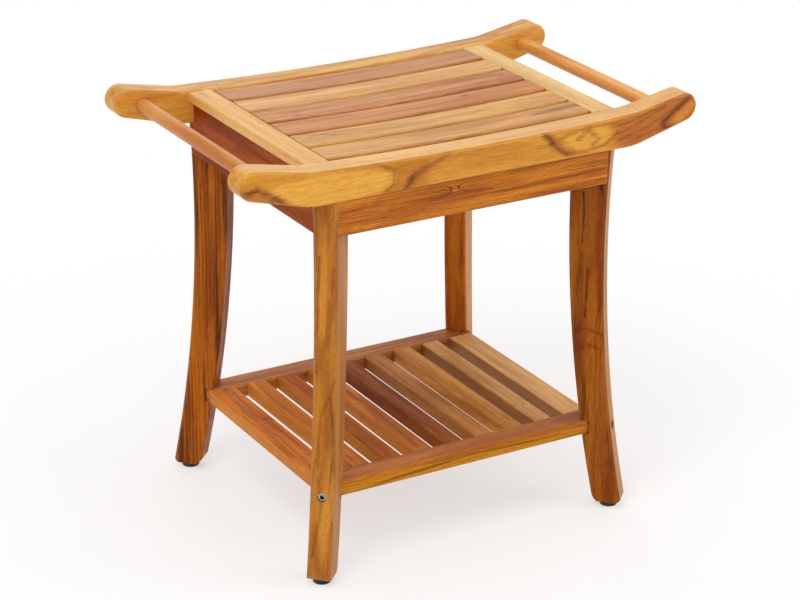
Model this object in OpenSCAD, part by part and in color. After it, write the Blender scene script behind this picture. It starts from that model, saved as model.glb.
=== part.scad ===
// Slatted wooden bath bench with sabre legs, upswept hand rails and a lower shelf.
// Millimetres, +Z up, +X along the bench, origin on the floor under the middle.

/* [Overall] */
// Length over the tips of the side rails
bench_l = 562; // [480:1:700]
// Width over the side rails
bench_w = 332; // [290:2:420]
// Height of the seat at its lowest point, mid length
seat_h = 468; // [400:1:540]

/* [Side rails] */
// Width of a side rail, seen from above
rail_w = 30; // [24:1:38]
// Depth of a side rail at mid length
rail_t = 33.5; // [28:0.5:38]
// Radius of the rounded rail tips
tip_r = 16; // [12:0.5:18]
// How far the rail tips stand above the middle of the seat
grip_rise = 16.5; // [14:0.5:24]
// Radius of the hollow along the seat
dish_r = 4750; // [4000:250:9000]
// Rise of the rail tops beyond the seat, in degrees
top_a = 11; // [9:0.5:14]
// Rise of the rails' underside toward the tips, in degrees
low_a = 15; // [13:0.5:20]
// Radius of the soft bends where the rails start to rise
bend_r = 80; // [40:5:150]
// Arris taken off the long edges of rails and legs
arris = 2; // [1:0.25:3]

/* [Handle bars] */
// Diameter of the round bars at both ends
bar_d = 16; // [12:1:20]
// Distance of a bar from the centre of the rail tip
bar_in = 17.5; // [14:0.5:30]
// Depth of the bar's socket in each rail
bar_socket = 14; // [8:1:20]
// Radial clearance of a bar in its sockets
bar_gap = 0.1; // [0.05:0.05:0.3]

/* [Seat] */
// Distance of an end batten's outer edge from the ends of the rails
overhang = 88.5; // [80:0.5:96]
// Width of an end batten
batten_w = 28.5; // [22:0.5:32]
// Thickness of battens and seat slats
slat_t = 11; // [9:0.5:14]
// Gap between seat slats, and beside the rails
slat_gap = 5.5; // [3:0.5:8]
// Number of seat slats
slat_n = 6; // [4:1:8]
// Rounding of the slats' long edges
slat_r = 2; // [1:0.5:3]
// Corner radius of the slat ends, seen from above
slat_end_r = 4; // [2:0.5:6]
// Clearance between slat ends and battens
slat_end_gap = 0.3; // [0.2:0.1:1]

/* [Aprons and carcase] */
// Set-back of the long aprons from the rail sides
apron_in_y = 4.5; // [3:0.1:8]
// Set-back of the end aprons from the batten edges
apron_in_x = 5.9; // [3:0.1:8]
// Thickness of the aprons
apron_t = 20; // [15:1:24]
// Depth of the aprons below the rails
apron_h = 37.5; // [34:0.5:50]
// Width of the bearers under the seat slats
bearer_w = 20; // [14:1:26]
// Depth of the bearers under the seat slats
bearer_h = 20; // [14:1:26]
// Thickness of the corner blocks behind the legs
block_t = 25; // [18:1:32]
// Height of the corner blocks
block_h = 31; // [24:1:36]

/* [Legs] */
// Thickness of a leg across the corner
leg_t = 26.5; // [20:0.5:30]
// Depth of a leg, measured out from the corner, at its top
leg_d = 40.2; // [34:0.2:48]
// How far a leg's outer face stands out from the corner of the aprons
leg_proud = 3; // [0:0.25:4]
// Radius of the hollow outer face
leg_out_r = 1660; // [1400:20:2600]
// Height at which the outer face stands upright
leg_out_z = 332; // [320:2:400]
// Radius of the inner face
leg_in_r = 1820; // [1500:20:2800]
// Height at which the inner face stands upright
leg_in_z = 386; // [360:2:430]
// Bevel under the foot of a leg
leg_foot_c = 5; // [2:0.5:6]

/* [Shelf] */
// Height of the shelf's top
shelf_z = 107.5; // [80:0.5:160]
// Thickness of the shelf
shelf_t = 16.5; // [14:0.5:22]
// Distance of the shelf's uncut corner from the aprons' corner, along the diagonal
shelf_in = 11.95; // [8:0.25:16]
// Depth of the housing that the shelf corner has in the leg
housing_d = 10; // [8:0.2:15]
// Play of the shelf in its housings, above and below
housing_gap = 0.2; // [0.1:0.05:0.4]
// Width of the two long shelf rails
shelf_rail_w = 28; // [24:1:34]
// Width of the two end slats
shelf_end_w = 31; // [24:1:36]
// Width of a slat between them
shelf_slat_w = 23; // [16:1:28]
// Number of slats between the end slats
shelf_n = 7; // [4:1:8]
// Length of the tenon on each slat end
tenon_l = 8; // [5:1:14]
// Thickness of the tenons
tenon_t = 7; // [5:0.5:9]
// Shoulder beside a tenon
tenon_shoulder = 3; // [2:0.5:5]
// Clearance round a tenon
tenon_gap = 0.15; // [0.1:0.05:0.3]

/* [Fittings] */
// Diameter of the bolts' shanks
bolt_d = 6; // [5:0.5:8]
// Diameter of the bolt heads
bolt_head_d = 10; // [9:0.5:13]
// Height of the bolt heads
bolt_head_h = 6; // [4:0.5:8]
// Width across flats of the hexagon socket in the heads
hex_af = 5; // [3:0.5:6]
// How far the shelf bolts sit above the middle of the shelf's thickness
shelf_bolt_up = 1.5; // [0:0.25:2.5]
// How far a shelf bolt's end stands past its insert
bolt_tip = 1; // [0.5:0.5:2]
// Length of the frame bolts under the head
frame_bolt_l = 50; // [44:1:58]
// Depth of the counterbore that sinks a shelf bolt's head
cbore_h = 7.5; // [6:0.5:9]
// Radial clearance of a bolt in its hole, and of a head in its counterbore
bolt_gap = 0.25; // [0.15:0.05:0.6]
// Outer diameter of the threaded inserts
insert_d = 9; // [8:0.5:11]
// Length of the threaded inserts
insert_l = 12; // [10:1:14]
// Radial clearance of an insert in its hole
insert_gap = 0.1; // [0.05:0.05:0.2]
// Diameter of the washers
washer_d = 18; // [14:1:22]
// Thickness of the washers
washer_t = 1.6; // [1:0.2:2.4]

/* [Feet] */
// Diameter of the rubber pads
pad_d = 20.5; // [16:0.5:24]
// Height of the rubber pads
pad_h = 7; // [4:0.5:9]
// Diameter of the stem that holds a pad
stem_d = 6; // [4:0.5:8]
// Length of the stem
stem_l = 14; // [10:1:18]
// Radial clearance of the stem
stem_gap = 0.1; // [0.05:0.05:0.2]

/* [Hidden] */
$fn = 96;
big_fn = 256;
eps = 0.01;
over = 1;                       // how far a cutting tool runs past what it cuts
reach = rail_t + 2 * grip_rise;  // half height of the blocks that hold the curved cuts
s2 = sqrt(2);

half_l = bench_l / 2;
half_w = bench_w / 2;
rail_in_y = half_w - rail_w;
rail_mid_y = half_w - rail_w / 2;
rail_z = seat_h - rail_t;       // underside of the rails, straight part
batten_x = half_l - overhang;
batten_in = batten_x - batten_w;

// Rail tips, and the points where the straight rises touch them
tip_x = half_l - tip_r;
tip_z = seat_h + grip_rise - tip_r;
tt_x = tip_x - tip_r * sin(top_a);
tt_z = tip_z + tip_r * cos(top_a);
tb_x = tip_x + tip_r * sin(low_a);
tb_z = tip_z - tip_r * cos(low_a);
function dish_z(x, r) = seat_h + dish_r - sqrt(r * r - x * x);

// Bend on top, inside the dish's circle and on the rise; seen from the dish's centre
bend_u = (tt_x - bend_r * sin(top_a)) * cos(top_a)
       + (tt_z + bend_r * cos(top_a) - seat_h - dish_r) * sin(top_a);
bend_v = (tt_z + bend_r * cos(top_a) - seat_h - dish_r) * cos(top_a)
       - (tt_x - bend_r * sin(top_a)) * sin(top_a);
rise_l = bend_u + sqrt(pow(dish_r - bend_r, 2) - bend_v * bend_v);   // straight part on top
rise_x = tt_x - rise_l * cos(top_a);
rise_z = tt_z - rise_l * sin(top_a);
top_x = rise_x - bend_r * sin(top_a);
top_z = rise_z + bend_r * cos(top_a);
dish_a = asin(top_x / (dish_r - bend_r));
bend_over = 0.03;               // keeps a bend from only grazing the straights beside it

// Bend underneath
low_l = (tb_z - rail_z) / sin(low_a) - bend_r * tan(low_a / 2);      // straight part below
low_x = tb_x - low_l * cos(low_a);
low_z = tb_z - low_l * sin(low_a);
under_x = low_x - bend_r * sin(low_a);
under_z = rail_z + bend_r;

// Handle bars
bar_x = tip_x - bar_in;
bar_top = tt_z - (tt_x - bar_x) * tan(top_a);
bar_low = tb_z - (tb_x - bar_x) * tan(low_a);
bar_z = (bar_top + bar_low) / 2;
bar_l = 2 * (rail_in_y + bar_socket - bar_gap);

// Seat
batten_z = dish_z(batten_in, dish_r);       // flush with the slat ends
slat_span = 2 * rail_in_y - (slat_n + 1) * slat_gap;
slat_w = slat_span / slat_n;
slat_pitch = slat_w + slat_gap;
slat_half = batten_in - slat_end_gap;
bent_gap = 0.03;                // a straight bearer under the bend of a slat
function slat_under(x) = dish_z(x, dish_r + slat_t);

// Aprons: their outer faces, and the corner K where those planes meet
apron_x = batten_x - apron_in_x;
apron_y = half_w - apron_in_y;
apron_z = rail_z - apron_h;
mitre = leg_t / s2;                         // the leg's flat takes this much off K
apron_top = batten_z - slat_t;              // end aprons carry the battens

// Legs, in a frame with u outward along the diagonal and u = 0 at K
leg_out_u = leg_proud - leg_t / 2 - bow(rail_z, leg_out_r, leg_out_z);
leg_in_u = -leg_t / 2 - leg_d - bow(rail_z, leg_in_r, leg_in_z);
function bow(z, r, z0) = r - sqrt(r * r - (z - z0) * (z - z0));
function out_u(z) = leg_out_u + bow(z, leg_out_r, leg_out_z);
function in_u(z) = leg_in_u + bow(z, leg_in_r, leg_in_z);

// Shelf
shelf_low = shelf_z - shelf_t;
shelf_mid = shelf_z - shelf_t / 2;
shelf_x = apron_x - shelf_in / s2;
shelf_y = apron_y - shelf_in / s2;
house_u = in_u(shelf_mid) + housing_d;      // back wall of the housing
clip = -(house_u + shelf_in) * s2;          // cut across the shelf corner, along each side
shelf_gap_w = (2 * shelf_x - 2 * shelf_end_w - shelf_n * shelf_slat_w) / (shelf_n + 1);
shelf_pitch = shelf_slat_w + shelf_gap_w;
shelf_in_y = shelf_y - shelf_rail_w;

// Fittings
shelf_bolt_z = shelf_mid + shelf_bolt_up;
cbore_u = out_u(shelf_bolt_z) - cbore_h;       // seat of the shelf bolt's head
shelf_bolt_u = house_u - insert_l - bolt_tip;   // end of the shelf bolt
block_z = rail_z - block_h - (apron_h - block_h) / 2;
frame_bolt_z = block_z + block_h / 2;
block_out = leg_in_u;                       // block's face on the leg
block_in = block_out - block_t;
insert_u = block_in - washer_t + frame_bolt_l - insert_l;
pad_u = (out_u(pad_h) + in_u(pad_h)) / 2;

// ---- helpers ----

// Rectangle with rounded corners
module rrect(l, w, r) {
    square([l - 2 * r, w], center = true);
    square([l, w - 2 * r], center = true);
    for (x = [-1, 1], y = [-1, 1])
        translate([x * (l / 2 - r), y * (w / 2 - r)]) circle(r);
}

// Bar along X with rounded long edges, top face at z = 0
module bar_along_x(l, w, t, r) {
    translate([-l / 2, 0, -t / 2]) rotate([90, 0, 90]) linear_extrude(l) rrect(w, t, r);
}

module bar_along_y(l, w, t, r) {
    rotate([0, 0, 90]) bar_along_x(l, w, t, r);
}

// Disc along Y with its rims bevelled by c
module drum(r, w, c) {
    rotate([90, 0, 0]) rotate_extrude($fn = big_fn)
        polygon([[0, -w / 2], [r - c, -w / 2], [r, -w / 2 + c],
                 [r, w / 2 - c], [r - c, w / 2], [0, w / 2]]);
}

// Cutter of radius r along Y that bevels the edges of its cut by c
module flare(r, w, c) {
    rotate([90, 0, 0]) rotate_extrude($fn = big_fn)
        polygon([[0, -w / 2 - over], [r + c + over, -w / 2 - over], [r, -w / 2 + c],
                 [r, w / 2 - c], [r + c + over, w / 2 + over], [0, w / 2 + over]]);
}

// Puts a corner's pieces at one corner: u outward, v along the leg's outer face
module at_corner(sx, sy) {
    mirror([sx < 0 ? 1 : 0, 0, 0]) mirror([0, sy < 0 ? 1 : 0, 0])
        translate([apron_x, apron_y, 0]) rotate([0, 0, 45]) children();
}

// Round bar along u from u0 to u1
module along_u(d, u0, u1, z) {
    translate([u0, 0, z]) rotate([0, 90, 0]) cylinder(d = d, h = u1 - u0);
}

module all_corners() {
    for (sx = [-1, 1], sy = [-1, 1]) at_corner(sx, sy) children();
}

// ---- side rails and handle bars ----

// Everything under the rail's top line that isn't tip
module rail_limit() {
    rotate([90, 0, 0]) linear_extrude(rail_w, center = true)
        polygon([[-tb_x, rail_z - reach], [tb_x, rail_z - reach], [tb_x, tb_z], [tip_x, tip_z],
                 [tt_x, tt_z], [tt_x, seat_h + reach], [-tt_x, seat_h + reach], [-tt_x, tt_z],
                 [-tip_x, tip_z], [-tb_x, tb_z]]);
}

// A slab with its lower edges bevelled, from a point of its underside and tilted up by a
module rail_slab(x, z, a) {
    translate([x, 0, z]) rotate([0, -a, 0]) rotate([90, 0, 90])
        linear_extrude(2 * bench_l, center = true)
            polygon([[-rail_w / 2 + arris, 0], [rail_w / 2 - arris, 0], [rail_w / 2, arris],
                     [rail_w / 2, bench_l], [-rail_w / 2, bench_l], [-rail_w / 2, arris]]);
}

// All that lies above a straight line through a point, with the bevels of the edges below it
module rail_above(x, z, a) {
    translate([x, 0, z]) rotate([0, -a, 0]) rotate([90, 0, 90])
        linear_extrude(2 * bench_l, center = true)
            polygon([[-rail_w / 2 + arris, 0], [rail_w / 2 - arris, 0],
                     [rail_w / 2 + over, -arris - over], [rail_w / 2 + over, bench_l],
                     [-rail_w / 2 - over, bench_l], [-rail_w / 2 - over, -arris - over]]);
}

// Wedge round a bend, from its centre outward, between the directions a and b from straight down
module bend_wedge(x, z, a, b) {
    translate([x, 0, z]) rotate([90, 0, 0]) linear_extrude(2 * rail_w, center = true)
        polygon([[0, 0], [2 * bend_r * sin(a), -2 * bend_r * cos(a)],
                 [2 * bend_r * sin(b), -2 * bend_r * cos(b)]]);
}

// Straight underside and straight rises, with a soft bend between them
module rail_under() {
    difference() {
        intersection() {
            rail_slab(0, rail_z, 0);
            rail_slab(low_x, low_z, low_a);
            mirror([1, 0, 0]) rail_slab(low_x, low_z, low_a);
        }
        for (s = [-1, 1]) mirror([s < 0 ? 1 : 0, 0, 0]) difference() {
            bend_wedge(under_x, under_z, 0, low_a);
            translate([under_x, 0, under_z]) drum(bend_r + bend_over, rail_w, arris);
        }
    }
}

// What the hollow of the seat and the rises leave open above the rail
module rail_open() {
    difference() {
        intersection() {
            translate([0, 0, seat_h + dish_r]) flare(dish_r, rail_w, arris);
            rail_above(rise_x, rise_z, top_a);
            mirror([1, 0, 0]) rail_above(rise_x, rise_z, top_a);
        }
        for (s = [-1, 1]) mirror([s < 0 ? 1 : 0, 0, 0]) difference() {
            bend_wedge(top_x, top_z, dish_a, top_a);
            translate([top_x, 0, top_z]) flare(bend_r + bend_over, rail_w, arris);
        }
    }
}

module rail() {
    difference() {
        union() {
            difference() {
                intersection() { rail_under(); rail_limit(); }
                rail_open();
            }
            for (s = [-1, 1]) translate([s * tip_x, 0, tip_z]) drum(tip_r, rail_w, arris);
        }
        // sockets of the handle bars, in the inner side
        for (s = [-1, 1]) translate([s * bar_x, rail_w / 2 - bar_socket, bar_z])
            rotate([-90, 0, 0]) cylinder(d = bar_d + 2 * bar_gap, h = bar_socket + over);
    }
}

module rail_front() { color("#b07a3a") translate([0, -rail_mid_y, 0]) rail(); }
module rail_rear() { color("#a87238") translate([0, rail_mid_y, 0]) mirror([0, 1, 0]) rail(); }

module handle_bar() {
    translate([bar_x, 0, bar_z]) rotate([90, 0, 0]) rotate_extrude()
        polygon([[0, -bar_l / 2], [bar_d / 2 - over, -bar_l / 2], [bar_d / 2, -bar_l / 2 + over],
                 [bar_d / 2, bar_l / 2 - over], [bar_d / 2 - over, bar_l / 2], [0, bar_l / 2]]);
}

module bar_right() { color("#b98145") handle_bar(); }
module bar_left() { color("#b98145") mirror([1, 0, 0]) handle_bar(); }

// ---- seat ----

module batten() {
    translate([batten_in + batten_w / 2, 0, batten_z])
        bar_along_y(2 * rail_in_y, batten_w, slat_t, slat_r);
}

module batten_right() { color("#d8b878") batten(); }
module batten_left() { color("#cfa568") mirror([1, 0, 0]) batten(); }

// A slat bent to the seat's hollow, cut to length with round corners
module seat_slat(i) {
    a = 2 * asin((batten_in + over) / dish_r);
    translate([0, rail_in_y - slat_gap - slat_w / 2 - (i - 1) * slat_pitch, 0])
        intersection() {
            translate([0, 0, seat_h + dish_r]) rotate([90, 0, 0]) rotate([0, 0, -90 - a / 2])
                rotate_extrude(angle = a, $fn = big_fn)
                    translate([dish_r + slat_t / 2, 0]) rrect(slat_t, slat_w, slat_r);
            translate([0, 0, seat_h - reach]) linear_extrude(2 * reach)
                rrect(2 * slat_half, slat_w + 10 * eps, slat_end_r);
        }
}

// Slats are laid from the rear rail forward; slat counts past the sixth share the last node
module seat_slats_from(a, b) { for (i = [a:b]) if (i <= slat_n) seat_slat(i); }
module seat_slat_1() { color("#8f6a58") seat_slats_from(1, 1); }
module seat_slat_2() { color("#c39a6e") seat_slats_from(2, 2); }
module seat_slat_3() { color("#b08a68") seat_slats_from(3, 3); }
module seat_slat_4() { color("#95604a") seat_slats_from(4, 4); }
module seat_slat_5() { color("#c4a070") seat_slats_from(5, 5); }
module seat_slat_6() { color("#b98c66") seat_slats_from(6, slat_n); }

// ---- aprons, bearers and corner blocks ----

module apron_long() {
    h = rail_z - apron_z;
    intersection() {
        translate([0, apron_y - apron_t / 2, rail_z]) difference() {
            bar_along_x(2 * apron_x, apron_t, h + arris, arris);
            translate([-apron_x - over, -apron_t, 0]) cube([2 * apron_x + 2 * over, 2 * apron_t, arris]);
        }
        translate([0, 0, apron_z - over - arris]) linear_extrude(h + 2 * over + arris)
            polygon([[-apron_x + mitre, apron_y], [apron_x - mitre, apron_y],
                     [apron_x - mitre - apron_t, apron_y - apron_t],
                     [-apron_x + mitre + apron_t, apron_y - apron_t]]);
    }
}

module apron_rear() { color("#8a4a2c") apron_long(); }
module apron_front() { color("#8a4a2c") mirror([0, 1, 0]) apron_long(); }

// Runs to the legs below the rails, and stands up between the rails to the batten
module apron_end() {
    h = apron_top - apron_z;
    difference() {
        intersection() {
            translate([apron_x - apron_t / 2, 0, apron_top])
                bar_along_y(2 * apron_y, apron_t, h, arris / 2);
            translate([0, 0, apron_z - over]) linear_extrude(h + 2 * over)
                polygon([[apron_x, apron_y - mitre], [apron_x, -apron_y + mitre],
                         [apron_x - apron_t, -apron_y + mitre + apron_t],
                         [apron_x - apron_t, apron_y - mitre - apron_t]]);
        }
        for (s = [-1, 1]) mirror([0, s < 0 ? 1 : 0, 0])
            translate([apron_x - apron_t - over, rail_in_y, rail_z])
                cube([apron_t + 2 * over, rail_w, h]);
    }
}

module apron_right() { color("#6d3a24") apron_end(); }
module apron_left() { color("#6d3a24") mirror([1, 0, 0]) apron_end(); }

// Against the apron, under the batten and, sloped to fit them, the ends of the slats
module bearer_end() {
    x1 = apron_x - apron_t;
    x0 = x1 - bearer_w;
    low = apron_top - bearer_h;
    rotate([90, 0, 0]) linear_extrude(2 * rail_in_y, center = true)
        polygon([[x0, low], [x1, low], [x1, apron_top], [batten_in, apron_top - bent_gap],
                 [x0, slat_under(x0) - bent_gap]]);
}

module bearer_right() { color("#9a6a3c") bearer_end(); }
module bearer_left() { color("#9a6a3c") mirror([1, 0, 0]) bearer_end(); }
module bearer_mid() {
    color("#9a6a3c") translate([-bearer_w / 2, -rail_in_y, seat_h - slat_t - bearer_h])
        cube([bearer_w, 2 * rail_in_y, bearer_h]);
}

// Fills the inside of a corner behind the leg, between the two aprons
module corner_block() {
    x1 = apron_x - apron_t;
    y1 = apron_y - apron_t;
    ko = apron_x + apron_y + block_out * s2;     // x + y on the leg's side
    ki = apron_x + apron_y + block_in * s2;      // x + y on the inner side
    difference() {
        translate([0, 0, block_z]) linear_extrude(block_h)
            polygon([[x1, ko - x1], [ko - y1, y1], [ki - y1, y1], [x1, ki - x1]]);
        translate([apron_x, apron_y, 0]) rotate([0, 0, 45])
            along_u(bolt_d + 2 * bolt_gap, block_in - over, block_out + over, frame_bolt_z);
    }
}

module block_rear_right() { color("#a5713f") corner_block(); }
module block_rear_left() { color("#a5713f") mirror([1, 0, 0]) corner_block(); }
module block_front_right() { color("#a5713f") mirror([0, 1, 0]) corner_block(); }
module block_front_left() { color("#a5713f") mirror([1, 0, 0]) mirror([0, 1, 0]) corner_block(); }

// ---- legs ----

// The leg's outline is the space between two arcs; the long edges are bevelled
module leg() {
    u_far = 3 * leg_d;
    difference() {
        intersection() {
            translate([leg_in_u + leg_in_r, 0, leg_in_z]) drum(leg_in_r, leg_t, arris);
            translate([0, 0, 0]) rotate([90, 0, 0]) linear_extrude(leg_t, center = true)
                polygon([[-u_far, rail_z], [u_far, rail_z],
                         [u_far, pad_h + u_far - out_u(pad_h) + leg_foot_c],
                         [out_u(pad_h) - leg_foot_c, pad_h],
                         [in_u(pad_h) + leg_foot_c, pad_h],
                         [-u_far, pad_h + u_far + in_u(pad_h) + leg_foot_c]]);
        }
        translate([leg_out_u + leg_out_r, 0, leg_out_z]) flare(leg_out_r, leg_t, arris);
        // housing for the shelf corner, right across the inner face
        translate([-u_far, -leg_t, shelf_low - housing_gap])
            cube([u_far + house_u, 2 * leg_t, shelf_t + 2 * housing_gap]);
        // shelf bolt and its counterbore
        along_u(bolt_d + 2 * bolt_gap, house_u - over, cbore_u + over, shelf_bolt_z);
        along_u(bolt_head_d + 2 * bolt_gap, cbore_u, u_far, shelf_bolt_z);
        // insert for the frame bolt, sunk in the inner face
        along_u(insert_d + 2 * insert_gap, -u_far, insert_u + insert_l + insert_gap, frame_bolt_z);
        // stem of the foot pad
        translate([pad_u, 0, pad_h - over])
            cylinder(d = stem_d + 2 * stem_gap, h = stem_l + over + stem_gap);
    }
}

module leg_front_left() { color("#9c6632") at_corner(-1, -1) leg(); }
module leg_front_right() { color("#8f5c2e") at_corner(1, -1) leg(); }
module leg_rear_left() { color("#a36b34") at_corner(-1, 1) leg(); }
module leg_rear_right() { color("#965f2f") at_corner(1, 1) leg(); }

// ---- shelf ----

function shelf_slat_x(i) = -shelf_x + shelf_end_w + shelf_gap_w + shelf_slat_w / 2
                         + (i - 1) * shelf_pitch;

module mortise(x, w) {
    translate([x - w / 2 + tenon_shoulder - tenon_gap, shelf_in_y - over,
               shelf_mid - tenon_t / 2 - tenon_gap])
        cube([w - 2 * tenon_shoulder + 2 * tenon_gap, tenon_l + tenon_gap + over,
              tenon_t + 2 * tenon_gap]);
}

// Long rail with its corners cut square to the diagonal, mortised for every slat
module shelf_rail() {
    difference() {
        intersection() {
            translate([0, shelf_y - shelf_rail_w / 2, shelf_z])
                bar_along_x(2 * shelf_x, shelf_rail_w, shelf_t, slat_r);
            translate([0, 0, shelf_low - over]) linear_extrude(shelf_t + 2 * over)
                polygon([[-shelf_x, shelf_in_y - over], [shelf_x, shelf_in_y - over],
                         [shelf_x, shelf_y - clip], [shelf_x - clip, shelf_y],
                         [-shelf_x + clip, shelf_y], [-shelf_x, shelf_y - clip]]);
        }
        for (s = [-1, 1]) mortise(s * (shelf_x - shelf_end_w / 2), shelf_end_w);
        for (i = [1:shelf_n]) mortise(shelf_slat_x(i), shelf_slat_w);
        for (s = [-1, 1]) mirror([s < 0 ? 1 : 0, 0, 0])
            translate([apron_x, apron_y, 0]) rotate([0, 0, 45]) {
                along_u(insert_d + 2 * insert_gap, house_u - insert_l - insert_gap, 0, shelf_bolt_z);
                along_u(bolt_d + 2 * bolt_gap, shelf_bolt_u - bolt_gap, 0, shelf_bolt_z);
            }
    }
}

module shelf_rail_rear() { color("#7a4a3c") shelf_rail(); }
module shelf_rail_front() { color("#8c5636") mirror([0, 1, 0]) shelf_rail(); }

module shelf_slat(x, w) {
    translate([x, 0, shelf_z]) bar_along_y(2 * shelf_in_y, w, shelf_t, slat_r);
    translate([x - w / 2 + tenon_shoulder, -shelf_in_y - tenon_l, shelf_mid - tenon_t / 2])
        cube([w - 2 * tenon_shoulder, 2 * (shelf_in_y + tenon_l), tenon_t]);
}

module shelf_end_left() { color("#a5683f") shelf_slat(-shelf_x + shelf_end_w / 2, shelf_end_w); }
module shelf_end_right() { color("#b58e68") shelf_slat(shelf_x - shelf_end_w / 2, shelf_end_w); }
module shelf_slats_from(a, b) {
    for (i = [a:b]) if (i <= shelf_n) shelf_slat(shelf_slat_x(i), shelf_slat_w);
}
module shelf_slat_1() { color("#a8643a") shelf_slats_from(1, 1); }
module shelf_slat_2() { color("#8a5440") shelf_slats_from(2, 2); }
module shelf_slat_3() { color("#b0713f") shelf_slats_from(3, 3); }
module shelf_slat_4() { color("#7d4a35") shelf_slats_from(4, 4); }
module shelf_slat_5() { color("#9a6048") shelf_slats_from(5, 5); }
module shelf_slat_6() { color("#b77a42") shelf_slats_from(6, 6); }
module shelf_slat_7() { color("#b09078") shelf_slats_from(7, shelf_n); }

// ---- fittings, drawn in the corner frame ----

// Socket-head bolt, its head's seat at u and its shank toward the middle of the bench
module bolt(u, l, z, s) {
    translate([u, 0, z]) rotate([0, s * 90, 0]) difference() {
        union() {
            translate([0, 0, -l]) cylinder(d = bolt_d, h = l + eps);
            cylinder(d = bolt_head_d, h = bolt_head_h);
        }
        translate([0, 0, bolt_head_h / 2])
            cylinder(d = hex_af / cos(30), h = bolt_head_h, $fn = 6);
    }
}

module insert(u, z) {
    translate([u, 0, z]) rotate([0, 90, 0]) difference() {
        cylinder(d = insert_d, h = insert_l);
        translate([0, 0, -over]) cylinder(d = bolt_d + 2 * insert_gap, h = insert_l + 2 * over);
    }
}

module shelf_bolts() {
    color("#c8c8c4") all_corners() bolt(cbore_u, cbore_u - shelf_bolt_u, shelf_bolt_z, 1);
}
module shelf_inserts() {
    color("#b79a52") all_corners() insert(house_u - insert_l, shelf_bolt_z);
}
module frame_bolts() {
    color("#c8c8c4") all_corners()
        bolt(block_in - washer_t, frame_bolt_l, frame_bolt_z, -1);
}
module frame_washers() {
    color("#d0d0cc") all_corners() difference() {
        along_u(washer_d, block_in - washer_t, block_in, frame_bolt_z);
        along_u(bolt_d + 2 * bolt_gap, block_in - washer_t - over, block_in + over, frame_bolt_z);
    }
}
module frame_inserts() {
    color("#b79a52") all_corners() insert(insert_u, frame_bolt_z);
}

// ---- feet ----

// Rubber pad with a rounded lower rim, held by a stem in the end grain
module pad() {
    rim = 2;
    translate([pad_u, 0, 0]) {
        rotate_extrude() {
            translate([0, rim]) square([pad_d / 2, pad_h - rim]);
            square([pad_d / 2 - rim, pad_h]);
            translate([pad_d / 2 - rim, rim]) circle(rim);
        }
        cylinder(d = stem_d, h = pad_h + stem_l);
    }
}

module pad_front_left() { color("#1c1c1e") at_corner(-1, -1) pad(); }
module pad_front_right() { color("#1c1c1e") at_corner(1, -1) pad(); }
module pad_rear_left() { color("#1c1c1e") at_corner(-1, 1) pad(); }
module pad_rear_right() { color("#1c1c1e") at_corner(1, 1) pad(); }

rail_front();
rail_rear();
bar_left();
bar_right();
batten_left();
batten_right();
seat_slat_1();
seat_slat_2();
seat_slat_3();
seat_slat_4();
seat_slat_5();
seat_slat_6();
apron_front();
apron_rear();
apron_left();
apron_right();
bearer_left();
bearer_mid();
bearer_right();
leg_front_left();
leg_front_right();
leg_rear_left();
leg_rear_right();
block_front_left();
block_front_right();
block_rear_left();
block_rear_right();
shelf_rail_front();
shelf_rail_rear();
shelf_end_left();
shelf_end_right();
shelf_slat_1();
shelf_slat_2();
shelf_slat_3();
shelf_slat_4();
shelf_slat_5();
shelf_slat_6();
shelf_slat_7();
pad_front_left();
pad_front_right();
pad_rear_left();
pad_rear_right();
frame_bolts();
frame_washers();
frame_inserts();
shelf_bolts();
shelf_inserts();
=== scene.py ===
"""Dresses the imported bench: camera, studio light, floor and the wood, rubber and metal surfaces.

Lengths are in metres, apart from those of the wood's figure, which are in millimetres."""
import math

import bpy
from mathutils import Matrix, Vector


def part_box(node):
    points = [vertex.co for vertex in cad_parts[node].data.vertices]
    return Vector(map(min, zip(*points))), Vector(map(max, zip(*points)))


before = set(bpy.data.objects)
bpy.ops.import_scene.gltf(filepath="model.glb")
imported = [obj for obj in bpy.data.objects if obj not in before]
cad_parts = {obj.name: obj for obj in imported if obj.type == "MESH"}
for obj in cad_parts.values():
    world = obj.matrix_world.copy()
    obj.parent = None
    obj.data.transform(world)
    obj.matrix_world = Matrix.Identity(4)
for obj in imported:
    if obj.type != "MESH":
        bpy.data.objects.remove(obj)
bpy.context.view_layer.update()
scene = bpy.context.scene
scene.view_settings.view_transform = "Standard"

# ---- camera, fitted to the view's straight edges, matching corners and outlines ----
CAM_AT = Vector((-1.3218, -2.2531, 1.3233))
YAW, PITCH, ROLL = (math.radians(a) for a in (30.44, 22.66, 0.58))
LENS, SENSOR = 112.04, 36.0  # mm
CLIP_NEAR, CLIP_FAR = 0.1, 50.0


def make_camera():
    look = Vector((math.sin(YAW) * math.cos(PITCH), math.cos(YAW) * math.cos(PITCH),
                   -math.sin(PITCH)))
    right = Vector((math.cos(YAW), -math.sin(YAW), 0.0))
    up = right.cross(look)
    right, up = (right * math.cos(ROLL) + up * math.sin(ROLL),
                 up * math.cos(ROLL) - right * math.sin(ROLL))
    data = bpy.data.cameras.new("view")
    data.lens, data.sensor_width = LENS, SENSOR
    data.clip_start, data.clip_end = CLIP_NEAR, CLIP_FAR
    cam = bpy.data.objects.new("view", data)
    turn = Matrix((right, up, -look)).transposed()
    cam.matrix_world = Matrix.Translation(CAM_AT) @ turn.to_4x4()
    scene.collection.objects.link(cam)
    scene.camera = cam


make_camera()


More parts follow.
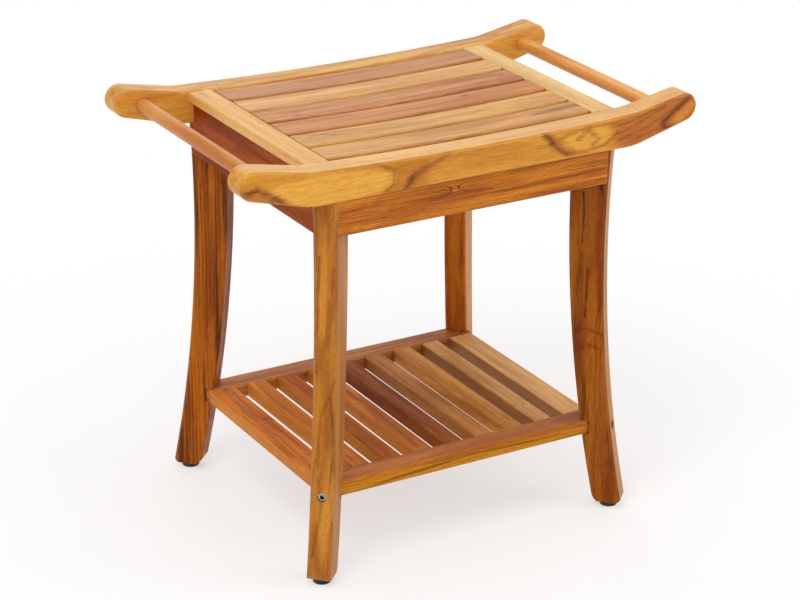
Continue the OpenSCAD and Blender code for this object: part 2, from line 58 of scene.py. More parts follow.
# ---- node trees ----
class Net:
    """A node tree with short calls. Arguments may be numbers, tuples or other nodes' outputs."""

    def __init__(self, tree):
        self.tree = tree
        tree.nodes.clear()

    def add(self, kind, out=0, ins=None, **props):
        """Adds a node. Returns its named or numbered output, or the node itself for None."""
        node = self.tree.nodes.new(kind)
        for key, value in props.items():
            setattr(node, key, value)
        for key, value in (ins or {}).items():
            self.put(node.inputs[key], value)
        return node if out is None else node.outputs[out]

    def put(self, socket, value):
        if isinstance(value, bpy.types.NodeSocket):
            self.tree.links.new(value, socket)
        elif hasattr(socket.default_value, "__len__") and not hasattr(value, "__len__"):
            socket.default_value = (value,) * len(socket.default_value)
        elif hasattr(value, "__len__") and len(socket.default_value) == 4 and len(value) == 3:
            socket.default_value = (*value, 1.0)
        else:
            socket.default_value = value

    def math(self, op, a, b=0.0, c=0.0, clamp=False):
        return self.add("ShaderNodeMath", ins={0: a, 1: b, 2: c}, operation=op, use_clamp=clamp)

    def times(self, a, b):
        return self.math("MULTIPLY", a, b)

    def minus(self, a, b):
        return self.math("SUBTRACT", a, b)

    def hypot(self, a, b):
        """The length of the hypotenuse over a and b."""
        return self.math("SQRT", self.math("ADD", self.math("POWER", a, 2.0),
                                           self.math("POWER", b, 2.0)))

    def shake(self, value, noise, amount):
        """A value moved up and down by a noise round 0.5."""
        return self.math("MULTIPLY_ADD", self.minus(noise, 0.5), amount, value)

    def dot(self, a, b):
        return self.add("ShaderNodeVectorMath", 1, ins={0: a, 1: b}, operation="DOT_PRODUCT")

    def mix(self, share, a, b, blend="MIX"):
        node = self.add("ShaderNodeMix", None, data_type="RGBA", blend_type=blend)
        for socket, value in ((0, share), (6, a), (7, b)):
            self.put(node.inputs[socket], value)
        return node.outputs[2]

    def lay(self, colour, shade, cover, strength):
        """A shade laid over a colour where cover is 1."""
        return self.mix(self.times(cover, strength), colour, shade)

    def ramp(self, value, low, high):
        """0 at low, 1 at high, smooth between them."""
        return self.add("ShaderNodeMapRange", interpolation_type="SMOOTHSTEP",
                        ins={0: value, 1: low, 2: high, 3: 0.0, 4: 1.0})

    def noise(self, at, scale, detail, rough, warp=0.0):
        return self.add("ShaderNodeTexNoise", ins={
            "Vector": at, "Scale": scale, "Detail": detail, "Roughness": rough,
            "Distortion": warp})

    def seen(self):
        """1 for rays of the camera, of reflections and through glass, 0 for those of the light."""
        path = self.add("ShaderNodeLightPath", None)
        return self.math("MAXIMUM", path.outputs["Is Camera Ray"],
                         self.math("MAXIMUM", path.outputs["Is Glossy Ray"],
                                   path.outputs["Is Transmission Ray"]))


def new_material(name):
    mat = bpy.data.materials.new(name)
    mat.use_nodes = True
    return mat


def dress(node, mat):
    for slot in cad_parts[node].material_slots:
        slot.material = mat


# ---- light and floor ----
SKY_LIGHT = 0.80  # strength with which the white surroundings light the bench; they show as 1
FLOOR_REACH = 12.0
FLOOR_SHADE = (0.94, 0.93, 0.93)
FLOOR_WHITE = 0.56  # share of plain white in the floor near the bench; far from it that is 1
FLOOR_NEAR, FLOOR_FAR = 0.38, 0.9
# where from, where to, width, watts, tint
LAMPS = {
    "key": ((-1.5, -0.9, 2.5), (0, 0, 0.3), 1.4, 23, (1.0, 0.98, 0.95)),
    "rear": ((0.7, 2.3, 1.7), (0, 0, 0.4), 1.4, 5, (1.0, 0.99, 0.97)),
    "side": ((1.9, -1.5, 1.3), (0, 0, 0.3), 1.2, 12, (1.0, 1.0, 1.0)),
}


def make_world():
    world = bpy.data.worlds.new("studio")
    scene.world = world
    world.use_nodes = True
    net = Net(world.node_tree)
    strength = net.math("MULTIPLY_ADD", net.seen(), 1.0 - SKY_LIGHT, SKY_LIGHT)
    sky = net.add("ShaderNodeBackground", ins={"Color": (1.0, 1.0, 1.0), "Strength": strength})
    net.add("ShaderNodeOutputWorld", None, ins={"Surface": sky})


def make_lamp(name, at, aim, width, watts, tint):
    data = bpy.data.lights.new(name, "AREA")
    data.shape, data.size, data.energy, data.color = "DISK", width, watts, tint
    obj = bpy.data.objects.new(name, data)
    obj.location = at
    obj.rotation_euler = (Vector(aim) - Vector(at)).to_track_quat("-Z", "Y").to_euler()
    scene.collection.objects.link(obj)


def make_floor():
    """A plain pale floor that keeps the bench's shadow and turns white away from it."""
    mesh = bpy.data.meshes.new("floor")
    r = FLOOR_REACH
    mesh.from_pydata([(-r, -r, 0), (r, -r, 0), (r, r, 0), (-r, r, 0)], [], [(0, 1, 2, 3)])
    obj = bpy.data.objects.new("floor", mesh)
    scene.collection.objects.link(obj)
    mat = new_material("floor")
    net = Net(mat.node_tree)
    at = net.add("ShaderNodeTexCoord", "Object")
    away = net.add("ShaderNodeVectorMath", 1, ins={0: at}, operation="LENGTH")
    white = net.math("MULTIPLY_ADD", net.ramp(away, FLOOR_NEAR, FLOOR_FAR), 1.0 - FLOOR_WHITE,
                     FLOOR_WHITE)
    matt = net.add("ShaderNodeBsdfDiffuse", ins={"Color": FLOOR_SHADE})
    glow = net.add("ShaderNodeEmission", ins={"Color": (1, 1, 1), "Strength": 1.0})
    both = net.add("ShaderNodeMixShader", ins={0: net.times(net.seen(), white), 1: matt, 2: glow})
    net.add("ShaderNodeOutputMaterial", None, ins={"Surface": both})
    mesh.materials.append(mat)


make_world()
for lamp, setting in LAMPS.items():
    make_lamp(lamp, *setting)
make_floor()

# ---- wood ----
MM = 1000.0  # millimetres in a metre
R2 = math.sqrt(0.5)
# Ways of the grain: the axis along it (u), the one across it (v) and the one through the piece (w)
GRAIN = {
    "X": ((1, 0, 0), (0, 1, 0), (0, 0, 1)),
    "Y": ((0, 1, 0), (1, 0, 0), (0, 0, 1)),
    "ZA": ((0, 0, 1), (R2, -R2, 0), (R2, R2, 0)),
    "ZB": ((0, 0, 1), (R2, R2, 0), (R2, -R2, 0)),
    "DA": ((R2, -R2, 0), (0, 0, 1), (R2, R2, 0)),
    "DB": ((R2, R2, 0), (0, 0, 1), (R2, -R2, 0)),
}
SEED_STEP = 17.3
# Noises: length and width of a cell in mm, shift of the seed, detail, roughness
RAGGED = (14, 4, 3.0, 3.0, 0.6)
RING_BEND = (90, 30, 1.0, 2.0, 0.5)
RING_RIPPLE = (22, 9, 2.0, 2.0, 0.55)
TONE = (150, 14, 5.0, 3.0, 0.55)
BLUSH = (210, 20, 6.0, 2.0, 0.5)
LINE = (120, 1.6, 8.0, 3.0, 0.65)
FIBRE = (9, 0.35, 9.0, 2.0, 0.6)
PORE = (5.0, 0.28, 10.0, 1.0, 0.5)
# The streaks' width differs from piece to piece: length, then shift, detail, roughness, warp
STREAK_LENGTH, STREAK = 260, (7.0, 4.0, 0.6, 0.3)
# Where each of them sets in and where it is full
TONE_SPAN, BLUSH_SPAN, LINE_SPAN = (0.36, 0.64), (0.45, 0.68), (0.54, 0.66)
FIBRE_SPAN, PORE_SPAN = (0.3, 0.7), (0.62, 0.72)
STREAK_SOFT, GATE_SOFT = 0.1, 0.2
# Parts of a ring, from 0 to 1: its dark line rises and ends; pores lie round the early wood
LATE_RISE, LATE_END = (0.45, 0.93), (1.0, 0.95)
EARLY, EARLY_SPAN = 0.12, (0.4, 0.1)
# Cosines between which a face counts as looking along an axis, either way, or one way for the
# faces given painted light and shade
FACE_SPAN, SIDE_SPAN = (0.55, 0.85), (0.75, 0.95)
STROKE_RAGGED, STROKE_INNER = 1.6, -0.2  # in widths of the stroke

# The same on all pieces: fibres and pores, a painted highlight on the arrises, gloss
FIBRE_SHARE, FIBRE_DARK, FIBRE_PALE = 0.45, (0.12,) * 3, (0.88,) * 3
PORE_SHARE, FIBRE_HEIGHT, PORE_HEIGHT = 0.55, 0.35, -1.0
BUMP_STRENGTH, BUMP_DEPTH = 0.25, 0.0004
# pale painted highlight laid on the arrises: its share and shade
ARRIS_GLINT_SHARE, ARRIS_GLINT_SHADE = 0.16, "f0cf9c"
EDGE_RADIUS, EDGE_SPAN = 0.0016, (0.995, 0.90)
ROUGH, ROUGH_TONE, ROUGH_PORE = 0.44, 0.14, 0.2
WOOD_IOR = 1.48
SHEEN_ROUGH, SHEEN_TINT = 0.3, (1.0, 0.86, 0.68)

DEFAULT = dict(
    grain="X", seed=0.0,
    shades=("d9a052", "c98a3e", "9c5a24", "70361a", "c58a68"),  # light, mid, dark, streak, pink
    pith=(30.0, -60.0),  # the rings' middle, across and through, in mm
    ring=5.0, ring_dark=0.35, ring_gate=0.42, wobble=6.0,  # rings: mm apart, strength, share, bend
    streaks=0.35, streak_at=0.62, streak_fine=70.0,  # strength, threshold, cells to a metre
    blush=0.3, lines=0.25,  # strengths
    islands=(),  # (u, w, half length, half width, height): rings that close round a hump
    marks=(),  # (shade, strength, u, v or w, half length, half width, tilt, options of blob)
    strokes=(),  # (shade, strength, width, points, "v" for the face that shows u and v)
    sides=(),  # (way, shade, strength): painted light and shade, whole faces laid lighter or darker for how light falls on them
    specular=0.22, sheen=0.4,
)


def linear(code):
    """Linear colour of an sRGB hex code."""
    parts = [int(code[i:i + 2], 16) / 255 for i in (0, 2, 4)]
    return tuple(c / 12.92 if c <= 0.04045 else ((c + 0.055) / 1.055) ** 2.4 for c in parts)


class Wood(Net):
    """The surface of one wooden piece. Its places are in millimetres from the piece's middle."""

    def __init__(self, tree, node, look):
        super().__init__(tree)
        self.look = dict(DEFAULT, **look)
        lo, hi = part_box(node)
        at = self.add("ShaderNodeVectorMath", operation="SUBTRACT", ins={
            0: self.add("ShaderNodeTexCoord", "Object"), 1: tuple((lo + hi) / 2)})
        axes = GRAIN[self.look["grain"]]
        self.u, self.v, self.w = (self.times(self.dot(at, axis), MM) for axis in axes)
        self.facing = self.add("ShaderNodeNewGeometry", "True Normal")
        # a face is named by the coordinate that it shows beside u
        self.beside = {"w": self.w, "v": self.v}
        self.face = {"w": self.looking(axes[1]), "v": self.looking(axes[2])}
        self.ragged = self.cells(*RAGGED)

    def looking(self, way):
        """1 where the surface looks along an axis, either way, 0 where it looks across it."""
        return self.ramp(self.math("ABSOLUTE", self.dot(self.facing, way)), *FACE_SPAN)

    def cells(self, length, width, shift, detail, rough, warp=0.0):
        """Noise with cells of a length along the grain and a width across it."""
        k = self.look["seed"] * SEED_STEP + shift
        at = self.add("ShaderNodeCombineXYZ", ins={
            0: self.math("MULTIPLY_ADD", self.u, 1 / length, k),
            1: self.math("MULTIPLY_ADD", self.v, 1 / width, k * 0.7),
            2: self.math("MULTIPLY_ADD", self.w, 1 / width, -k * 0.4)})
        return self.noise(at, 1.0, detail, rough, warp)

    def blob(self, cu, cb, ru, rb, tilt=0.0, face="w", soft=0.35, raggedness=0.5):
        """1 inside a ragged oval, 0 outside."""
        a, b = self.minus(self.u, cu), self.minus(self.beside[face], cb)
        b = self.math("MULTIPLY_ADD", a, -math.tan(math.radians(tilt)), b)
        away = self.hypot(self.math("DIVIDE", a, ru), self.math("DIVIDE", b, rb))
        away = self.shake(away, self.ragged, raggedness)
        return self.times(self.ramp(away, 1.0 + soft, 1.0 - soft), self.face[face])

    def stroke(self, width, points, face="w"):
        """1 on a line through the points, fading to 0 at its ragged sides."""
        away = None
        for (u0, b0), (u1, b1) in zip(points, points[1:]):
            du, db = u1 - u0, b1 - b0
            run = du * du + db * db
            a, b = self.minus(self.u, u0), self.minus(self.beside[face], b0)
            t = self.math("ADD", self.times(a, du / run), self.times(b, db / run), clamp=True)
            off = self.hypot(self.math("MULTIPLY_ADD", t, -du, a),
                             self.math("MULTIPLY_ADD", t, -db, b))
            away = off if away is None else self.math("MINIMUM", away, off)
        away = self.shake(away, self.ragged, width * STROKE_RAGGED)
        return self.times(self.ramp(away, width, width * STROKE_INNER), self.face[face])

    def rings(self):
        """How many growth rings a point is from the pith."""
        look = self.look
        pith_v, pith_w = look["pith"]
        out = self.hypot(self.minus(self.v, pith_v), self.minus(self.w, pith_w))
        out = self.shake(out, self.cells(*RING_BEND), look["wobble"] * 2.0)
        out = self.shake(out, self.cells(*RING_RIPPLE), look["wobble"] * 0.5)
        for cu, cw, ru, rw, height in look["islands"]:
            away = self.hypot(self.math("DIVIDE", self.minus(self.u, cu), ru),
                              self.math("DIVIDE", self.minus(self.w, cw), rw))
            hump = self.math("EXPONENT", self.times(self.math("POWER", away, 2.0), -1.0))
            out = self.math("MULTIPLY_ADD", hump, height, out)
        return self.math("DIVIDE", out, look["ring"])

    def late(self, ring, phase):
        """1 on the dark line that ends a ring, on some of the rings."""
        line = self.times(self.ramp(phase, *LATE_RISE), self.ramp(phase, *LATE_END))
        which = self.noise(self.add("ShaderNodeCombineXYZ", ins={
            0: self.times(ring, 0.45), 1: self.times(self.u, 0.004)}), 1.0, 2.0, 0.6)
        gate = self.look["ring_gate"]
        return self.times(line, self.ramp(which, gate, gate + GATE_SOFT))

    def marked(self, colour):
        """The colour with the piece's own marks and strokes, and painted light and shade on some
        faces.
        """
        for shade, strength, *shape in self.look["marks"]:
            options = shape.pop() if isinstance(shape[-1], dict) else {}
            colour = self.lay(colour, linear(shade), self.blob(*shape, **options), strength)
        for shade, strength, *line in self.look["strokes"]:
            colour = self.lay(colour, linear(shade), self.stroke(*line), strength)
        # painted light and shade: faces that look one way are laid lighter or darker for how light
        # falls on them
        for way, shade, strength in self.look["sides"]:
            face_light_mask = self.ramp(self.dot(self.facing, way), *SIDE_SPAN)
            colour = self.lay(colour, linear(shade), face_light_mask, strength)
        return colour

    def surface(self):
        """Lays colour, gloss and bump over each other and joins them to the material's output."""
        look = self.look
        light, mid, dark, streak, pink = (linear(code) for code in look["shades"])
        ring = self.rings()
        phase = self.math("FRACT", ring)

        # tone along the grain, blush, rings, dark streaks
        tone = self.cells(*TONE)
        colour = self.mix(self.ramp(tone, *TONE_SPAN), light, mid)
        colour = self.lay(colour, pink, self.ramp(self.cells(*BLUSH), *BLUSH_SPAN), look["blush"])
        colour = self.lay(colour, dark, self.late(ring, phase), look["ring_dark"])
        band = self.cells(STREAK_LENGTH, MM / look["streak_fine"], *STREAK)
        band = self.ramp(band, look["streak_at"], look["streak_at"] + STREAK_SOFT)
        colour = self.lay(colour, streak, band, look["streaks"])
        colour = self.marked(colour)

        # fine lines, fibres and pores
        colour = self.lay(colour, dark, self.ramp(self.cells(*LINE), *LINE_SPAN), look["lines"])
        fibre = self.cells(*FIBRE)
        grey = self.mix(self.ramp(fibre, *FIBRE_SPAN), FIBRE_DARK, FIBRE_PALE)
        colour = self.mix(FIBRE_SHARE, colour, grey, "SOFT_LIGHT")
        early = self.ramp(self.math("ABSOLUTE", self.minus(phase, EARLY)), *EARLY_SPAN)
        pore = self.times(self.ramp(self.cells(*PORE), *PORE_SPAN), early)
        colour = self.lay(colour, streak, pore, PORE_SHARE)

        # soft arrises: the bevel node's normal, and a pale painted highlight where it turns
        soft = self.add("ShaderNodeBevel", samples=4, ins={"Radius": EDGE_RADIUS})
        # painted highlight: the arrises are laid paler where the bevel's normal turns away from
        # the face's
        arris_glint = self.ramp(self.dot(soft, self.facing), *EDGE_SPAN)
        colour = self.lay(colour, linear(ARRIS_GLINT_SHADE), arris_glint, ARRIS_GLINT_SHARE)

        height = self.math("ADD", self.times(fibre, FIBRE_HEIGHT), self.times(pore, PORE_HEIGHT))
        bump = self.add("ShaderNodeBump", ins={
            "Strength": BUMP_STRENGTH, "Distance": BUMP_DEPTH, "Height": height, "Normal": soft})
        rough = self.shake(self.math("MULTIPLY_ADD", pore, ROUGH_PORE, ROUGH), tone, ROUGH_TONE)
        body = self.add("ShaderNodeBsdfPrincipled", ins={
            "Base Color": colour, "Roughness": rough, "IOR": WOOD_IOR,
            "Specular IOR Level": look["specular"], "Sheen Weight": look["sheen"],
            "Sheen Roughness": SHEEN_ROUGH, "Sheen Tint": SHEEN_TINT, "Normal": bump})
        self.add("ShaderNodeOutputMaterial", None, ins={"Surface": body})


# Grain, palette, figure and painted light and shade of faces of each piece, where they differ from
# the default
WOODS = {
    "rail_front": dict(
        seed=1.0, shades=("da982e", "c48026", "934d0a", "6e360d", "cc8933"),
        pith=(20.0, -95.0), ring=6.0, ring_dark=0.3, streaks=0.25, blush=0.2, lines=0.22,
        marks=(
            ("ba6f18", 0.7, -82, -8, 22, 60),
            ("e3a63f", 0.85, -188, -9, 90, 17, 0, dict(soft=0.14, raggedness=0.35)),
            ("dc9f3b", 0.8, 138, -7, 31, 11, 0, dict(soft=0.2)),
            ("a8581b", 0.8, 226, 6, 56, 50, 0, dict(soft=0.22)),
            ("cc7e2f", 0.85, 264, 5, 15, 8, 35),
            ("b56b1c", 0.85, -256, -6, 17, 4.5, -14),
        ),
        strokes=(
            ("a6631a", 0.6, 11.0, ((-140, 14), (-112, 7), (-98, -4), (-102, -18), (-112, -26))),
            ("8a480f", 0.6, 3.2, ((-160, 10), (-122, 9), (-103, -1), (-104, -15), (-116, -25))),
            ("8e4b12", 0.75, 10.0, ((-90, -26), (-80, -13), (-68, -5))),
            ("663209", 0.83, 5.6, ((-91, -25), (-83, -14), (-79, -8))),
            ("935720", 0.8, 7.0, ((-78, -8), (-60, -3), (-38, 6))),
            ("8e4b12", 0.7, 10.0, ((82, 10), (89, 2), (97, -7), (116, -20))),
            ("663209", 0.78, 6.0, ((81, 8), (87, 3), (92, -4))),
            ("622d0c", 0.55, 4.0, ((92, -4), (100, -12), (112, -20))),
            ("88471a", 0.65, 4.6, ((93, -5), (112, 4), (148, 8), (176, 4))),
            ("88471a", 0.6, 4.0, ((108, -18), (132, -20), (160, -16), (176, -4))),
            ("975618", 0.7, 5.0, ((124, -4), (139, 3), (152, -8), (144, -14))),
            ("8e3e12", 0.6, 9.0, ((276, 22), (256, 12), (240, 2), (236, -6), (254, -15))),
            ("602707", 0.83, 5.6, ((274, 22), (258, 13), (246, 5), (236, -3))),
            ("602707", 0.78, 4.8, ((236, -3), (240, -10), (256, -14), (270, -12))),
            ("7d3510", 0.65, 2.4, ((172, -8), (206, 2), (238, 15))),
            ("7d3510", 0.65, 2.0, ((176, -15), (212, -6), (236, 4))),
            ("7d3510", 0.6, 2.0, ((178, 2), (214, 10), (250, 22))),
            ("7d3510", 0.5, 2.0, ((186, -20), (216, -13), (236, -8))),
            ("814310", 0.6, 8.0, ((-278, 3), (-262, 5), (-246, -4), (-226, -18))),
            ("7a390b", 0.83, 5.6, ((-276, 1), (-262, 4), (-249, -2), (-232, -13))),
            ("662f08", 0.83, 5.2, ((-248, -12), (-238, -15), (-228, -21))),
        ),
        sides=(((0, 0, 1), "f8d39b", 0.32),)),
    "rail_rear": dict(
        seed=2.0, shades=("dda447", "c2802b", "915817", "6b3714", "d29a5d"),
        pith=(-38.0, -80.0), ring=7.0, streaks=0.35, lines=0.3,
        sides=(((0, -1, 0), "de8f2a", 0.4),)),
    "bar_left": dict(
        grain="Y", seed=3.0, shades=("cf8943", "b66c26", "95531f", "6d3714", "c68856"),
        pith=(10.0, -24.0), ring=3.5, wobble=3.0, lines=0.3),
    "bar_right": dict(
        grain="Y", seed=4.0, shades=("eeaf56", "cf832c", "a86424", "7e481d", "e2ab73"),
        pith=(-12.0, -22.0), ring=3.5, wobble=3.0, lines=0.3,
        sides=(((-1, 0, 0), "e08c34", 0.35),)),
    "batten_left": dict(
        grain="Y", seed=5.0, shades=("e3af61", "d09542", "ad6f28", "824f1c", "dcab66"),
        pith=(60.0, -30.0), ring=5.0, ring_dark=0.3, streaks=0.2, lines=0.2),
    "batten_right": dict(
        grain="Y", seed=6.0, shades=("e6bb6f", "d1a155", "b77f3d", "8e5d29", "deb57f"),
        pith=(-70.0, -20.0), ring=6.0, ring_dark=0.25, streaks=0.1, lines=0.15),
    "seat_slat_1": dict(
        seed=7.0, shades=("c4823e", "ac642c", "834417", "612f10", "b4764b"),
        pith=(12.0, -70.0), streaks=0.3, blush=0.6,
        strokes=(("8a4a28", 0.55, 2.4, ((-150, 8), (-40, 4), (60, 9)), "v"),)),
    "seat_slat_2": dict(
        seed=8.0, shades=("dfa758", "c6863c", "a4652a", "804b21", "d19d6a"),
        pith=(30.0, -60.0), streaks=0.18, blush=0.35,
        strokes=(("9a6430", 0.55, 2.4, ((-120, -4), (0, -8), (120, -3)), "v"),)),
    "seat_slat_3": dict(
        seed=9.0, shades=("cb863b", "b56929", "8c4c20", "66331a", "b77648"),
        pith=(-8.0, -40.0), ring=4.0, ring_dark=0.6, wobble=9.0, streaks=0.55, streak_at=0.56,
        streak_fine=110.0, blush=0.5,
        strokes=(
            ("82452c", 0.65, 2.8, ((-82, -12), (-20, -6), (40, -9), (110, -5), (168, -11)), "v"),
            ("8a4c30", 0.55, 2.4, ((-120, 4), (-40, 8), (30, 5)), "v"),
        )),
    "seat_slat_4": dict(
        seed=10.0, shades=("c9812f", "b36422", "8b4918", "68340e", "ba793c"),
        pith=(50.0, -55.0), streaks=0.2, blush=0.4,
        marks=(("67370f", 0.9, 75, 8, 5, 2.5, 0, dict(face="v", soft=0.5)),),
        strokes=(("8a4a20", 0.5, 2.4, ((-60, -6), (40, -2), (140, -8)), "v"),)),
    "seat_slat_5": dict(
        seed=11.0, shades=("d89f4c", "c38637", "a26727", "7c4e23", "cb995f"),
        pith=(-14.0, -50.0), ring=5.0, wobble=10.0, streaks=0.2, blush=0.3,
        marks=(
            ("905f2e", 0.6, -132, 9, 26, 2.0, -20, dict(face="v")),
            ("986533", 0.5, -60, -6, 40, 1.6, 8, dict(face="v")),
        ),
        strokes=(
            ("875426", 0.65, 2.4, ((-150, 2), (-129, 10), (-108, 12), (-84, 8)), "v"),
            ("875426", 0.55, 2.2, ((-129, 10), (-120, 2), (-90, 0), (-40, -4)), "v"),
        )),
    "seat_slat_6": dict(
        seed=12.0, shades=("d3964a", "b97933", "955a25", "6c4020", "c28852"),
        pith=(20.0, -45.0), streaks=0.3, blush=0.4,
        marks=(("854f26", 0.6, 140, 4, 34, 5, 3, dict(face="v", soft=0.5)),),
        strokes=(
            ("7a4520", 0.6, 4.2, ((104, 2), (138, 4), (172, 8)), "v"),
            ("8a5528", 0.5, 2.2, ((-160, -8), (-60, -4), (40, -9)), "v"),
        )),
    "apron_front": dict(
        seed=13.0, shades=("d78310", "b9610a", "642705", "501f04", "c97713"),
        pith=(6.0, -110.0), ring=2.1, ring_dark=0.9, ring_gate=0.3, wobble=2.6, streaks=0.55,
        streak_at=0.56, streak_fine=260.0, blush=0.25, lines=0.55,
        islands=((-27, 5, 13, 6, 9.0),),
        strokes=(
            ("d1851b", 0.6, 6.0, ((-262, -12), (-200, -14), (-120, -13))),
            ("5b230a", 0.5, 3.2, ((-60, 0), (-38, 3), (-27, 12), (-14, 4), (20, 1))),
        )),
    "apron_rear": dict(
        seed=14.0, shades=("b66e2b", "944b1c", "6c310b", "4e1f0a", "a8663c"),
        pith=(-70.0, 12.0), ring=4.5, ring_dark=0.6, lines=0.4),
    "apron_left": dict(
        grain="Y", seed=15.0, shades=("a64d11", "823604", "582304", "3a1604", "8f4112"),
        pith=(60.0, 10.0), ring=5.0, ring_dark=0.5, lines=0.3, specular=0.05, sheen=0.0),
    "apron_right": dict(
        grain="Y", seed=16.0, shades=("aa5c25", "8d4116", "642a0b", "461b08", "a05c38"),
        pith=(-60.0, 4.0), ring=5.0, ring_dark=0.5, lines=0.3),
    "leg_front_left": dict(
        grain="ZA", seed=17.0, shades=("be781a", "a15b0b", "814006", "683205", "b17224"),
        pith=(24.0, -40.0), ring=7.0, ring_dark=0.6, wobble=6.0, streaks=0.6, streak_fine=90.0,
        blush=0.35,
        marks=(
            ("d48f33", 0.5, -150, 4, 40, 7, 0, dict(face="v")),
            ("d48f33", 0.4, 120, -4, 60, 6, 0, dict(face="v")),
        ),
        strokes=(
            ("773a09", 0.65, 3.4, ((150, -7), (80, -9), (20, -10)), "v"),
            ("874719", 0.6, 5.5, ((138, 9), (82, 6), (50, 1)), "v"),
            ("6a3406", 0.7, 4.2, ((-8, 6), (-52, 11), (-90, 14)), "v"),
            ("773a09", 0.6, 3.6, ((-186, -8), (-127, 0), (-100, -5)), "v"),
            ("773a09", 0.5, 3.6, ((20, 14), (-30, -4), (-86, -6)), "v"),
        )),
    "leg_front_right": dict(
        grain="ZB", seed=18.0, shades=("a35a04", "813a04", "5c2404", "381504", "9a5204"),
        pith=(-26.0, 20.0), ring=6.0, ring_dark=0.6, wobble=10.0, streaks=0.55, streak_at=0.58,
        streak_fine=80.0, blush=0.2, specular=0.12, sheen=0.2,
        marks=(
            ("ae6715", 0.45, 140, -14, 60, 9),
            ("a55e15", 0.4, -120, 6, 70, 10),
        ),
        strokes=(
            ("331208", 0.85, 2.2, ((162, -21), (136, -19), (104, -20))),
            ("331208", 0.85, 2.2, ((72, -13), (41, -13), (14, -14))),
            ("5d2b09", 0.65, 3.6, ((-6, -30), (1, -13), (-5, 6))),
            ("5d2b09", 0.6, 4.0, ((-30, -28), (-19, -9), (-24, 12))),
            ("331208", 0.8, 2.6, ((174, -2), (155, 3), (138, 6))),
            ("5d2b09", 0.5, 3.0, ((0, -24), (-60, -14), (-120, -4))),
        ),
        sides=(((R2, -R2, 0), "cd913a", 0.5),)),
    "leg_rear_left": dict(
        grain="ZB", seed=19.0, shades=("b26004", "8e4504", "622504", "3e1c04", "a96006"),
        pith=(-8.0, -70.0), ring=4.2, ring_dark=0.8, wobble=3.0, streaks=0.75, streak_at=0.54,
        streak_fine=130.0, lines=0.4, specular=0.12, sheen=0.15),
    "leg_rear_right": dict(
        grain="ZA", seed=20.0, shades=("ca741d", "9c4a0c", "652e05", "451e04", "b86b26"),
        pith=(30.0, 30.0), ring=6.0, specular=0.12, sheen=0.2,
        sides=(((R2, -R2, 0), "d89a64", 0.5),)),
    "shelf_rail_front": dict(
        seed=21.0, shades=("bf7415", "a15914", "793a0b", "502305", "a05f22"),
        pith=(-30.0, -36.0), ring=5.0, ring_dark=0.6, wobble=8.0, streaks=0.5, blush=0.5,
        lines=0.5, specular=0.1, sheen=0.12,
        marks=(
            ("c68316", 0.8, -20, -3, 200, 6.5, 0),
            ("753c0a", 0.8, -60, -1, 60, 1.6, 3),
            ("7a400b", 0.7, 60, 1, 70, 1.5, -2),
            ("76431d", 0.75, 150, 0, 24, 11, 0, dict(face="v")),
        ),
        sides=(((0, 0, 1), "b26332", 0.35),)),
    "shelf_rail_rear": dict(
        seed=22.0, shades=("c98140", "975323", "713715", "4b230b", "a36338"),
        pith=(34.0, -40.0), streaks=0.5, blush=0.6, specular=0.1, sheen=0.12),
    "shelf_end_left": dict(
        grain="Y", seed=23.0, shades=("d37824", "a8510b", "7d3607", "552304", "b86728"),
        pith=(50.0, -40.0), ring=6.0, streaks=0.3, specular=0.05, sheen=0.0,
        marks=(
            ("873704", 0.75, 29, 8, 3, 5, 0, dict(face="v", soft=0.6)),
            ("873704", 0.6, 24, 12, 2, 3, 0, dict(face="v", soft=0.6)),
        ),
        strokes=(
            ("8a3d12", 0.6, 2.4, ((-130, 3), (-20, 8), (50, 2), (120, 6)), "v"),
            ("6e2c0c", 0.6, 2.0, ((-100, -6), (-30, -3), (60, -8)), "v"),
            ("5a2410", 0.7, 5.0, ((146, 16), (132, 6), (120, 2)), "v"),
        ),
        sides=(((-1, 0, 0), "d09147", 0.5),)),
    "shelf_end_right": dict(
        grain="Y", seed=24.0, shades=("e5ad5c", "cc8f47", "9d6330", "6e4023", "c99967"),
        pith=(-50.0, -40.0), streaks=0.3,
        sides=(((-1, 0, 0), "7c4616", 0.7),)),
    "shelf_slat_1": dict(
        grain="Y", seed=25.0, shades=("db892a", "b56214", "853f08", "5a2d05", "c57a2b"),
        streaks=0.4, specular=0.05, sheen=0.0,
        sides=(((-1, 0, 0), "d79440", 0.5),)),
    "shelf_slat_2": dict(
        grain="Y", seed=26.0, shades=("bb6112", "934606", "6f3004", "481d04", "a95b16"),
        streaks=0.5, specular=0.05, sheen=0.0,
        sides=(((-1, 0, 0), "d39735", 0.5),)),
    "shelf_slat_3": dict(
        grain="Y", seed=27.0, shades=("d1822d", "a85a16", "7e3f0c", "532806", "bf7531"),
        streaks=0.35, specular=0.05, sheen=0.0,
        strokes=(("5a2408", 0.6, 2.2, ((-120, -3), (-20, 3), (90, -2)), "v"),),
        sides=(((-1, 0, 0), "cc843d", 0.5),)),
    "shelf_slat_4": dict(
        grain="Y", seed=28.0, shades=("995015", "74360a", "562504", "391704", "884a19"),
        streaks=0.5, specular=0.05, sheen=0.0),
    "shelf_slat_5": dict(
        grain="Y", seed=29.0, shades=("c17f42", "9a5e27", "733f19", "4c270e", "ac7143"),
        streaks=0.4, specular=0.05, sheen=0.0),
    "shelf_slat_6": dict(
        grain="Y", seed=30.0, shades=("de9f50", "b47431", "885620", "5c3912", "c79051"),
        streaks=0.3, specular=0.05, sheen=0.0),
    "shelf_slat_7": dict(
        grain="Y", seed=31.0, shades=("d69d57", "b17c3e", "87582c", "5d3819", "be8957"),
        streaks=0.3, specular=0.1, sheen=0.1,
        sides=(((-1, 0, 0), "804b19", 0.7),)),
}
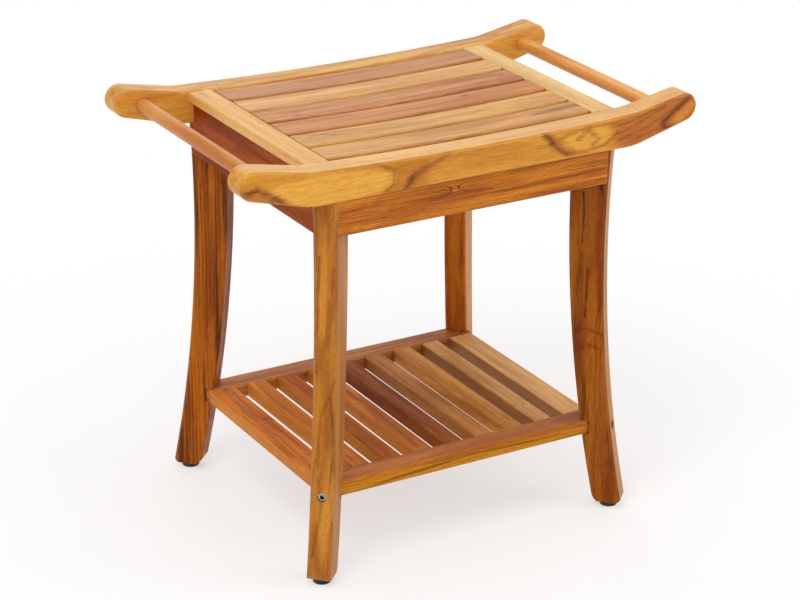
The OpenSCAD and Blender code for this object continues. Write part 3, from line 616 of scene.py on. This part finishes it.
# The pieces under the seat and behind the legs
for n, side in enumerate(("left", "mid", "right")):
    WOODS["bearer_" + side] = dict(
        grain="Y", seed=40.0 + n, shades=("b8783c", "a8682e") + DEFAULT["shades"][2:])
for n, (corner, way) in enumerate((("front_left", "DA"), ("front_right", "DB"),
                                   ("rear_left", "DB"), ("rear_right", "DA"))):
    WOODS["block_" + corner] = dict(
        grain=way, seed=50.0 + n, shades=("b47438", "a4642c") + DEFAULT["shades"][2:])

for name, piece_look in WOODS.items():
    wood = new_material("teak " + name.replace("_", " "))
    Wood(wood.node_tree, name, piece_look).surface()
    dress(name, wood)

# ---- rubber and metal ----
FINE_EDGE = 0.0004
# painted shade in gaps: how far it reaches, to what share of the colour it darkens, and how open
# the gap is where it starts
GAP_REACH, GAP_SHADE, GAP_SPAN = 0.004, 0.12, (0.35, 0.9)
FINE_STRENGTH, FINE_DEPTH = 0.15, 0.0001
FINE_DARK, FINE_SHARE, FINE_ROUGH = 0.7, 0.5, 0.12


def plain(name, nodes, colour, rough, metallic=0.0, grain=900.0):
    """Rubber or metal with a fine grain, soft edges, and painted shade that darkens narrow gaps.
    """
    mat = new_material(name)
    net = Net(mat.node_tree)
    fine = net.noise(net.add("ShaderNodeTexCoord", "Object"), grain, 3.0, 0.6)
    soft = net.add("ShaderNodeBevel", samples=4, ins={"Radius": FINE_EDGE})
    bump = net.add("ShaderNodeBump", ins={
        "Strength": FINE_STRENGTH, "Distance": FINE_DEPTH, "Height": fine, "Normal": soft})
    shade = net.lay(colour, tuple(FINE_DARK * c for c in colour), fine, FINE_SHARE)
    # painted shade: the colour is darkened where ambient occlusion finds walls close by
    open_sky = net.add("ShaderNodeAmbientOcclusion", "AO", samples=8, ins={"Distance": GAP_REACH})
    shade = net.mix(net.ramp(open_sky, *GAP_SPAN), tuple(GAP_SHADE * c for c in colour), shade)
    body = net.add("ShaderNodeBsdfPrincipled", ins={
        "Base Color": shade, "Metallic": metallic, "Normal": bump,
        "Roughness": net.math("MULTIPLY_ADD", fine, FINE_ROUGH, rough - FINE_ROUGH / 2)})
    net.add("ShaderNodeOutputMaterial", None, ins={"Surface": body})
    for node in nodes:
        dress(node, mat)


plain("rubber", [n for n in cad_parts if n.startswith("pad_")], (0.012, 0.012, 0.013), 0.6)
plain("stainless steel", ("frame_bolts", "frame_washers", "shelf_bolts"), (0.44, 0.43, 0.41), 0.26,
      metallic=1.0, grain=2500.0)
plain("brass", ("frame_inserts", "shelf_inserts"), (0.60, 0.42, 0.16), 0.35,
      metallic=1.0, grain=2500.0)
